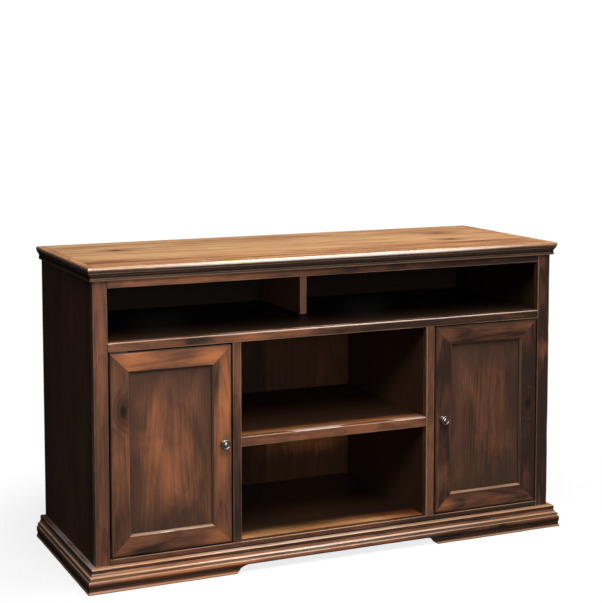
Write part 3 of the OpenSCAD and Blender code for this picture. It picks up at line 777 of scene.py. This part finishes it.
class CONSOLE_OT_top(ConsoleOperator):
    """Make the natural alder top and its mitred strips"""

    bl_idname = "console.make_top"
    bl_label = "Top"

    def make(self, context):
        make_board("top_panel", "natural", "X", "Z", wear=0.0, planks=0.104, tone=0.02, contrast=1.5, mottle=0.6,
                   figure=0.75, butt=0.4, rim=0.4,
                   knots=((-0.508, 0.0785, 0.013), (0.49, 0.0945, 0.014), (0.448, -0.0565, 0.009)))
        # A painted highlight line runs along the nose of the strips.
        strip = dict(support=0, under=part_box("top_strip_front")[HIGH][Z] - 1 * MM, bands=((0.8110, 0.0040, 0.45),))
        # Painted highlight streaks along the nose of the front strip.
        nose = ((0.8098, 0.0036, -0.02, 0.52, 0.85), (0.8115, 0.0022, 0.02, 0.66, 0.5))
        make_board("top_strip_front", "natural", "X", "Z", tone=-0.04, mitre=("Y", "low"), gloss=1.0, waxed=nose,
                   **strip)
        for side, outer in SIDES:
            make_board("top_strip_" + side, "natural", "Y", "Z", tone=-0.06, mitre=("X", outer), gloss=0.3, **strip)


class CONSOLE_OT_cornice(ConsoleOperator):
    """Make the cornice under the top"""

    bl_idname = "console.make_cornice"
    bl_label = "Cornice"

    def make(self, context):
        # Painted highlight and shade lines along the cornice.
        moulding = dict(wear=0.6, support=0, rub=0.12, hollow_glaze_and_shade=0.5,
                        bands=((0.8005, 0.0045, -0.9), (0.7955, 0.0016, 0.08), (0.7890, 0.0055, -0.85),
                               (0.7817, 0.0028, 0.32)))
        # The spot on the cornice's front darkens its right part: partly stain, partly painted shade.
        make_board("cornice_front", "face", "X", "Y", tone=-0.26, mitre=("Y", "low"),
                   spots=((0.6, 0.79, 0.9, 0.3, -0.35),), **moulding)
        for side, outer in SIDES:
            make_board("cornice_" + side, "side", "Y", "X", tone=0.1, mitre=("X", outer), **moulding)


class CONSOLE_OT_case(ConsoleOperator):
    """Make the side panels, the partitions, the back and the boards inside"""

    bl_idname = "console.make_case"
    bl_label = "Case"

    def make(self, context):
        # Painted shade darkens the inner faces of the sides, the partitions and the boards of the bays across their
        # depth.
        for side, _ in SIDES:
            make_board("side_" + side, "side", "Z", "X", wear=None, planks=0.118, tone=0.12, contrast=0.8,
                       recess=(-0.235, -0.1, 0.85))
            make_board("partition_" + side, "side", "Z", "X", wear=None, planks=0.121, tone=0.6, contrast=0.8,
                       recess=(0.05, -0.2, 0.6))
            make_board("cupboard_shelf_" + side, "inner", "X", "Z", wear=None, planks=0.09)
        make_board("media_shelf", "inner", "X", "Z", wear=None, planks=0.11, tone=-0.5, contrast=0.6,
                   recess=(-0.236, -0.13, 0.92))
        make_board("deck", "natural", "X", "Z", wear=None, planks=0.102, tone=-0.1, recess=(-0.236, -0.14, 0.97),
                   spots=((0.24, -0.17, 0.12, 0.09, -0.5),))
        # A broad, faint painted highlight on the divider's front.
        make_board("media_divider", "face", "Z", "Y", wear=0.7, tone=0.8, burnish=0.3,
                   waxed=((0.7, 0.12, 0.7, 0.2, 0.1),))
        make_board("back_upper", "side", "Z", "Y", wear=None, planks=0.16, contrast=0.6, recess=(-0.2, 0.0, 0.95))
        # The spot that lightens the lower back is a painted pool of light.
        make_board("back_lower", "inner", "Z", "Y", wear=None, planks=0.16, tone=-0.25, contrast=0.6,
                   recess=(-0.2, 0.0, 0.2), spots=((0.2, 0.13, 0.06, 0.17, 0.7),))
        for node in ("top_cleats", "base_back", "deck_runners"):
            make_board(node, "inner", "X", "Z", wear=None, tone=-0.05)
        make_board("corner_blocks", "inner", "Z", "X", wear=None, tone=-0.05)


class CONSOLE_OT_front_frame(ConsoleOperator):
    """Make the stiles and rails of the front frame"""

    bl_idname = "console.make_front_frame"
    bl_label = "Front frame"

    def make(self, context):
        make_board("stile_left", "face", "Z", "Y", wear=2.0, tone=-0.04, burnish=0.5, rub=0.15,
                   spots=((0.74, -0.645, 0.10, 0.05, 0.12), (0.2, -0.65, 0.25, 0.05, -0.08)))
        # Lower tones and large dark spots darken the right-hand part of the frame: partly stain, partly painted
        # shade.
        make_board("stile_right", "face", "Z", "Y", wear=2.0, tone=-0.34, burnish=0.3, rub=0.3,
                   spots=((0.512, 0.645, 0.03, 0.03, 0.3), (0.25, 0.645, 0.2, 0.1, -0.25)))
        make_board("rail_top", "face", "X", "Y", tone=0.12, burnish=0.3, butt=0.85, rub=0.3,
                   spots=((0.6, 0.775, 0.95, 0.3, -0.62),))
        make_board("rail_middle", "face", "X", "Y", tone=0.06, burnish=0.2, butt=0.85, rub=0.8,
                   # A painted highlight streak along the middle rail's upper arris.
                   waxed=((0.6225, 0.0014, 0.1, 0.6, 0.4),),
                   marks=(((-0.088, -0.2345, 0.623), 6 * MM, 2.0 * MM), ((-0.079, -0.2345, 0.624), 4 * MM, 1.4 * MM)),
                   spots=((-0.395, 0.61, 0.05, 0.03, -0.22), (0.45, 0.61, 0.75, 0.3, -0.5)))
        # A painted shade line runs along the bottom rail.
        make_board("rail_bottom", "face", "X", "Y", tone=-0.08, burnish=0.2, butt=0.85, rub=0.7,
                   bands=((0.0612, 0.0032, -0.8),), spots=((0.45, 0.06, 0.6, 0.3, -0.42),))
        make_board("inner_stile_left", "face", "Z", "Y", wear=1.5, tone=-0.18, burnish=0.3, rub=0.35,
                   spots=((0.54, -0.285, 0.10, 0.05, 0.22), (0.2, -0.285, 0.18, 0.05, -0.12)))
        make_board("inner_stile_right", "face", "Z", "Y", wear=1.5, tone=-0.02, burnish=0.3, rub=0.5)


class CONSOLE_OT_centre_shelf(ConsoleOperator):
    """Make the shelf of the open centre and its front strip"""

    bl_idname = "console.make_centre_shelf"
    bl_label = "Centre shelf"

    def make(self, context):
        # Painted shade darkens the shelf towards the back of the bay.
        make_board("centre_shelf", "inner", "X", "Z", wear=None, planks=0.11, tone=0.6, contrast=1.4,
                   recess=(-0.226, -0.165, 0.95))
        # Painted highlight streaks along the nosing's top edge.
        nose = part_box("centre_shelf_nosing")[HIGH][Z] - 0.6 * MM
        make_board("centre_shelf_nosing", "face", "X", "Y", tone=0.04, burnish=0.2, butt=0.7,
                   waxed=((nose, 0.0012, -0.04, 0.09, 0.5), (nose, 0.0010, 0.25, 0.07, 0.4)))


class CONSOLE_OT_base(ConsoleOperator):
    """Make the moulded base"""

    bl_idname = "console.make_base"
    bl_label = "Base"

    def make(self, context):
        # The base's profile lines are painted highlight and shade; the bead line is a painted highlight on the front
        # and a painted shade on the sides.
        profile = ((0.0533, 0.0042, -1.2), (0.0458, 0.0020, 0.1), (0.0410, 0.0026, 0.6), (0.0370, 0.0021, -1.3),
                   (0.0325, 0.0026, 0.4), (0.0185, 0.0085, -0.8), (0.0105, 0.0050, -0.7), (0.0040, 0.0018, 0.4),
                   (0.0006, 0.0012, -0.4))
        lit_bead_line, shaded_bead_line = (0.0588, 0.0018, 0.6), (0.0592, 0.0020, -0.35)
        # Painted highlight streaks along the base moulding.
        moulding = dict(support=0, rub=0.25, hollow_glaze_and_shade=0.35, waxed=(
            (0.0413, 0.0015, 0.0, 0.45, 0.32), (0.0325, 0.0017, 0.0, 0.45, 0.25), (0.0590, 0.0012, -0.1, 0.35, 0.3)))
        # The base's front is lighter on the left and darker on the right: partly stain, partly painted shade.
        make_board("base_front", "face", "X", "Y", mitre=("Y", "low"), bands=(lit_bead_line, *profile), gloss=0.5,
                   knots=((0.505, 0.028, 0.007),),
                   spots=((-0.5, 0.035, 0.35, 0.2, 0.22), (0.5, 0.035, 0.5, 0.2, -0.12)), **moulding)
        for side, outer in SIDES:
            make_board("base_" + side, "face", "Y", "X", mitre=("X", outer), bands=(shaded_bead_line, *profile),
                       gloss=0.25, tone=-0.08, **moulding)


class CONSOLE_OT_doors(ConsoleOperator):
    """Make the mitred doors and their panels"""

    bl_idname = "console.make_doors"
    bl_label = "Doors"

    def make(self, context):
        self.door("left", dict(
            hinge_stile=dict(tone=-0.06, knots=((0.449, -0.589, 0.009),), slope=("high", 0.0042)),
            free_stile=dict(tone=0.04, slope=("low", 0.0052),
                            spots=((0.46, -0.318, 0.09, 0.03, 0.2), (0.52, -0.345, 0.1, 0.014, -0.25))),
            top_rail=dict(tone=0.16, slope=("low", 0.0052),
                          spots=((-0.345, 0.572, 0.07, 0.03, 0.28), (-0.57, 0.575, 0.06, 0.03, 0.15))),
            bottom_rail=dict(tone=-0.06, slope=("high", 0.0036), rub=0.5,
                             spots=((-0.517, 0.086, 0.06, 0.014, -0.4), (-0.33, 0.1, 0.05, 0.03, 0.15)))),
            panel=dict(tone=0.06))
        # The right door's lower tones: partly stain, partly painted shade.
        self.door("right", dict(
            hinge_stile=dict(tone=-0.38, knots=((0.360, 0.599, 0.009),), slope=("low", 0.0052)),
            free_stile=dict(tone=-0.28, slope=("high", 0.0042)),
            top_rail=dict(tone=-0.26, slope=("low", 0.0052)),
            bottom_rail=dict(tone=-0.26, slope=("high", 0.0041), rub=0.5, spots=((0.325, 0.1, 0.05, 0.03, 0.3),))),
            panel=dict(tone=-0.18))

    def door(self, side, members, panel):
        (low_x, _, low_z), (high_x, _, high_z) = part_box(f"door_{side}_free_stile")
        free = high_x if side == "left" else low_x
        upper, lower = Vector((free, 0, high_z)), Vector((free, 0, low_z))
        corners = {"hinge_stile": (), "free_stile": (lower, upper), "top_rail": (upper,), "bottom_rail": (lower,)}
        for member, look in members.items():
            grain, across = ("Z", "X") if "stile" in member else ("X", "Z")
            outer = {"low": "high", "high": "low"}[look["slope"][0]]
            make_board(f"door_{side}_{member}", "face", grain, "Y", wear=1.7, ease=1.6 * MM, mitre=(across, outer),
                       corners=corners[member], burnish=0.22, gloss=0.5, **{"rub": 0.12, **look})
        make_board(f"door_{side}_panel", "face", "Z", "Y", wear=0.0, sunburst=0.8, contrast=0.75, mottle=1.15,
                   figure=0.05, gloss=0.5, **panel)


class CONSOLE_OT_hardware(ConsoleOperator):
    """Make the knobs, hinges, catches, pins and screws"""

    bl_idname = "console.make_hardware"
    bl_label = "Hardware"

    def make(self, context):
        stains = context.scene.console_stains
        pewter = metal("aged_pewter", stains.pewter, 0.32, patina=0.95)
        brass = metal("aged_brass", stains.brass, 0.46, patina=0.6)
        steel = metal("bright_steel", stains.steel, 0.30, patina=0.3)
        black = moulded_plastic("black_catch", stains.catch)
        for side, _ in SIDES:
            knob = clean_mesh("knob_" + side)
            paint_bends(knob, None)
            stand_in(knob, "knob_" + side, "_cast", KNOB_CREASE, pewter)
            finished("knob_screw_" + side, steel)
            finished("hinge_plates_" + side, brass)
            finished("door_" + side + "_hinge_leaves", brass)
            finished("door_" + side + "_strike", steel)
            finished("catch_" + side, black)
        finished("shelf_pins", steel)


# Studio

FRAME_WIDTH, FRAME_HEIGHT = 602, 603
FOCAL_PIXELS = 1476.74
HORIZON_ROW = 205
SENSOR_WIDTH = 36
CAMERA_PLACE = (-1.6711, -3.7216, 1.2877)
CAMERA_YAW, CAMERA_PITCH, CAMERA_ROLL = 24.2012, 5.0665, -0.0454
FLOOR_HALF = 16.0
BOUNCE = (0.10, 0.10, 0.10, 1)
WHITE = (1, 1, 1, 1)

# Where each soft box stands, what it points at, its width and its height
SOFT_BOXES = {
    "key": ((-0.6, -2.06, 2.65), (-0.1, -0.2, 0.4), 1.5, 1.1),
    "fill": ((0.0, -3.9, 1.15), (0.0, 0.0, 0.45), 1.1, 0.8),
    "strip": ((0.95, -1.0, 2.9), (0.3, -0.2, 0.7), 1.45, 0.4),
    "rear": ((1.0, 2.6, 0.4), (0.2, 0.25, 0.4), 1.2, 0.6),
}


class CONSOLE_OT_studio(ConsoleOperator):
    """Make the floor, the soft lights, the pale surroundings and the camera"""

    bl_idname = "console.make_studio"
    bl_label = "Studio"

    def make(self, context):
        scene, studio = context.scene, context.scene.console_studio
        self.floor(scene, studio)
        self.surroundings(scene, studio)
        for name, (place, target, width, height) in SOFT_BOXES.items():
            self.soft_box(scene, name + "_box", place, target, width, height, getattr(studio, name))
        self.camera(scene)
        scene.view_settings.view_transform = "Standard"

    def soft_box(self, scene, name, place, target, width, height, power):
        data = bpy.data.lights.new(name, "AREA")
        data.shape = "RECTANGLE"
        data.size = width
        data.size_y = height
        data.energy = power
        lamp = bpy.data.objects.new(name, data)
        scene.collection.objects.link(lamp)
        lamp.location = place
        lamp.visible_camera = False
        lamp.rotation_mode = "QUATERNION"
        lamp.rotation_quaternion = (Vector(target) - Vector(place)).to_track_quat("-Z", "Y")

    def seen_directly(self, recipe):
        """1 for rays that see the studio, 0 for those that only carry its light."""
        return recipe.node("ShaderNodeLightPath", output="Is Camera Ray")

    def floor(self, scene, studio):
        mesh = bmesh.new()
        bmesh.ops.create_grid(mesh, x_segments=24, y_segments=24, size=FLOOR_HALF)
        data = bpy.data.meshes.new("studio_floor")
        mesh.to_mesh(data)
        mesh.free()
        floor = bpy.data.objects.new("studio_floor", data)
        scene.collection.objects.link(floor)
        material, recipe = new_material("pale_floor")
        data.materials.append(material)
        x, y, _ = recipe.place()
        away = (x * x + y * y).root()
        paint = recipe.node("ShaderNodeBsdfDiffuse", inputs={"Color": opaque(studio.ground)})
        bounce = recipe.node("ShaderNodeBsdfDiffuse", inputs={"Color": BOUNCE})
        glow = recipe.node("ShaderNodeEmission", inputs={"Color": WHITE, "Strength": 1.0})
        shown = recipe.node("ShaderNodeMixShader", inputs={0: away.ramp(0.7, 1.15, 0.8, 1.0), 1: paint, 2: glow})
        both = recipe.node("ShaderNodeMixShader", inputs={0: self.seen_directly(recipe), 1: bounce, 2: shown})
        recipe.node("ShaderNodeOutputMaterial", inputs={"Surface": both})

    def surroundings(self, scene, studio):
        scene.world = bpy.data.worlds.new("pale_surroundings")
        recipe = Recipe(scene.world)
        strength = self.seen_directly(recipe).ramp(0.0, 1.0, studio.ambient, 1.0)
        sky = recipe.node("ShaderNodeBackground", inputs={"Color": WHITE, "Strength": strength})
        recipe.node("ShaderNodeOutputWorld", inputs={"Surface": sky})

    def camera(self, scene):
        yaw, pitch, roll = (math.radians(angle) for angle in (CAMERA_YAW, CAMERA_PITCH, CAMERA_ROLL))
        ahead = Vector((math.sin(yaw) * math.cos(pitch), math.cos(yaw) * math.cos(pitch), -math.sin(pitch)))
        right = Vector((math.cos(yaw), -math.sin(yaw), 0))
        up = right.cross(ahead)
        right, up = right * math.cos(roll) + up * math.sin(roll), up * math.cos(roll) - right * math.sin(roll)
        data = bpy.data.cameras.new("photo_camera")
        data.sensor_fit = "HORIZONTAL"
        data.sensor_width = SENSOR_WIDTH
        data.lens = FOCAL_PIXELS / FRAME_WIDTH * SENSOR_WIDTH
        data.shift_y = (HORIZON_ROW - FRAME_HEIGHT / 2) / FRAME_WIDTH
        data.clip_start = 0.1
        data.clip_end = 60
        camera = bpy.data.objects.new("photo_camera", data)
        scene.collection.objects.link(camera)
        camera.matrix_world = Matrix.Translation(CAMERA_PLACE) @ Matrix((right, up, -ahead)).transposed().to_4x4()
        scene.camera = camera


class CONSOLE_PT_panel(bpy.types.Panel):
    bl_label = "Console"
    bl_idname = "CONSOLE_PT_panel"
    bl_space_type = "VIEW_3D"
    bl_region_type = "UI"
    bl_category = "Console"

    def draw(self, context):
        for name in GROUPS:
            group = getattr(context.scene, name)
            box = self.layout.box()
            for key in group.__annotations__:
                box.prop(group, key)
        for maker in MAKERS:
            self.layout.operator(maker.bl_idname)


MAKERS = [CONSOLE_OT_top, CONSOLE_OT_cornice, CONSOLE_OT_case, CONSOLE_OT_front_frame, CONSOLE_OT_centre_shelf,
          CONSOLE_OT_base, CONSOLE_OT_doors, CONSOLE_OT_hardware, CONSOLE_OT_studio]
GROUPS = {"console_stains": ConsoleStains, "console_wear": ConsoleWear, "console_studio": ConsoleStudio}


def register():
    for name, group in GROUPS.items():
        bpy.utils.register_class(group)
        setattr(bpy.types.Scene, name, PointerProperty(type=group))
    for kind in (*MAKERS, CONSOLE_PT_panel):
        bpy.utils.register_class(kind)


def unregister():
    for kind in reversed((*MAKERS, CONSOLE_PT_panel)):
        bpy.utils.unregister_class(kind)
    for name, group in reversed(GROUPS.items()):
        delattr(bpy.types.Scene, name)
        bpy.utils.unregister_class(group)


def main():
    register()
    for maker in MAKERS:
        family, name = maker.bl_idname.split(".")
        getattr(getattr(bpy.ops, family), name)()


if __name__ == "__main__":
    main()
